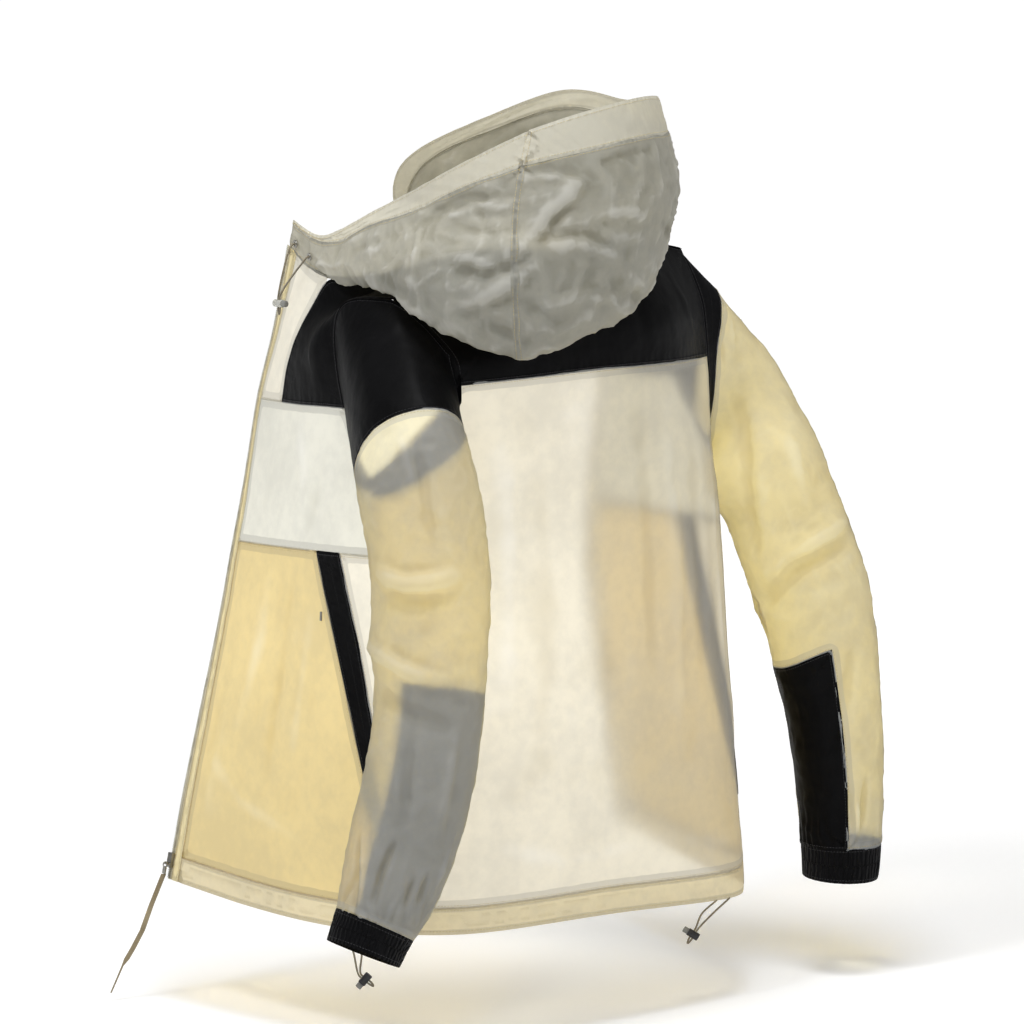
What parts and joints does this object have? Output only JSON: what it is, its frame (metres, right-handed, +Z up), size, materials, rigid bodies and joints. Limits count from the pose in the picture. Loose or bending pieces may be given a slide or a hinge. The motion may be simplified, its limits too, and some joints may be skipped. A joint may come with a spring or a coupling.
{
  "type": "hooded windbreaker jacket",
  "caption": "Sheer colour-blocked hooded windbreaker, open at the front, filled out with no wearer, with black yokes, cuffs and forearm panels and corded hem and hood.",
  "frame": {"origin": "middle of the neck at shoulder height, where a wearer's neck and shoulders hold it", "axes": "+Z up, the open fronts face -Y, the wearer's left is +X"},
  "size_m": [0.7489, 0.5084, 0.9198],
  "materials": {
    "sheer_cream": "thin sheer plain weave, pale cream",
    "sheer_pale": "thin sheer plain weave, off-white",
    "sheer_yellow": "thin sheer plain weave, pale yellow",
    "sheer_side": "thin sheer plain weave, cream",
    "sheer_sleeve": "thin sheer plain weave, pale yellow",
    "black_cloth": "thin black plain weave",
    "elastic_cuff": "black cloth gathered on elastic",
    "hood_cloth": "crinkled grey-beige sheer plain weave",
    "casing_cloth": "doubled sheer cloth",
    "facing_cloth": "doubled sheer cloth with stitched edge",
    "zip_tape": "woven zip tape",
    "cord": "thin braided elastic cord",
    "stop_plastic": "smooth grey",
    "slider_metal": "black, semi-gloss",
    "ribbon": "narrow woven ribbon"
  },
  "bodies": {
    "jacket": {"back_panel": "sheer_cream", "front_chest_left": "sheer_pale", "front_chest_right": "sheer_pale", "front_lower_left": "sheer_yellow", "front_lower_right": "sheer_yellow", "front_side_left": "sheer_side", "front_side_right": "sheer_side", "front_upper_left": "sheer_side", "front_upper_right": "sheer_side", "sleeve_main_left": "sheer_sleeve", "sleeve_main_right": "sheer_sleeve", "yoke_back": "black_cloth", "yoke_front_left": "black_cloth", "yoke_front_right": "black_cloth", "pocket_strip_left": "black_cloth", "pocket_strip_right": "black_cloth", "sleeve_cap_left": "black_cloth", "sleeve_cap_right": "black_cloth", "forearm_panel_left": "black_cloth", "forearm_panel_right": "black_cloth", "cuff_left": "elastic_cuff", "cuff_right": "elastic_cuff", "hood_left": "hood_cloth", "hood_right": "hood_cloth", "hood_casing_left": "hood_cloth", "hood_casing_right": "hood_cloth", "hem_casing_back": "casing_cloth", "hem_casing_front_left": "casing_cloth", "hem_casing_front_right": "casing_cloth", "front_facing_left": "facing_cloth", "front_facing_right": "facing_cloth", "zip_tape_left": "zip_tape", "zip_tape_right": "zip_tape", "hood_cord_left": "cord", "hood_cord_right": "cord", "hem_cord_left": "cord", "hem_cord_right": "cord", "hood_stop_left_barrel": "stop_plastic", "hood_stop_left_button": "stop_plastic", "hood_stop_right_barrel": "stop_plastic", "hood_stop_right_button": "stop_plastic", "hem_stop_left_barrel": "stop_plastic", "hem_stop_left_button": "stop_plastic", "hem_stop_right_barrel": "stop_plastic", "hem_stop_right_button": "stop_plastic", "hood_eyelet_front_left": "stop_plastic", "hood_eyelet_back_left": "stop_plastic", "hood_eyelet_front_right": "stop_plastic", "hood_eyelet_back_right": "stop_plastic", "pocket_pull_left": "stop_plastic", "pocket_pull_right": "stop_plastic", "zip_slider": "slider_metal"},
    "pull": {"zip_pull": "slider_metal", "zip_tail": "ribbon"}
  },
  "joints": [
    {"name": "pull_hinge", "type": "hinge", "parent": "jacket", "child": "pull", "pos_m": [0.26322, -0.2704, -0.6515], "axis": [-0.0655, -0.9952, 0.0726], "range_deg": [0, 75]}
  ]
}
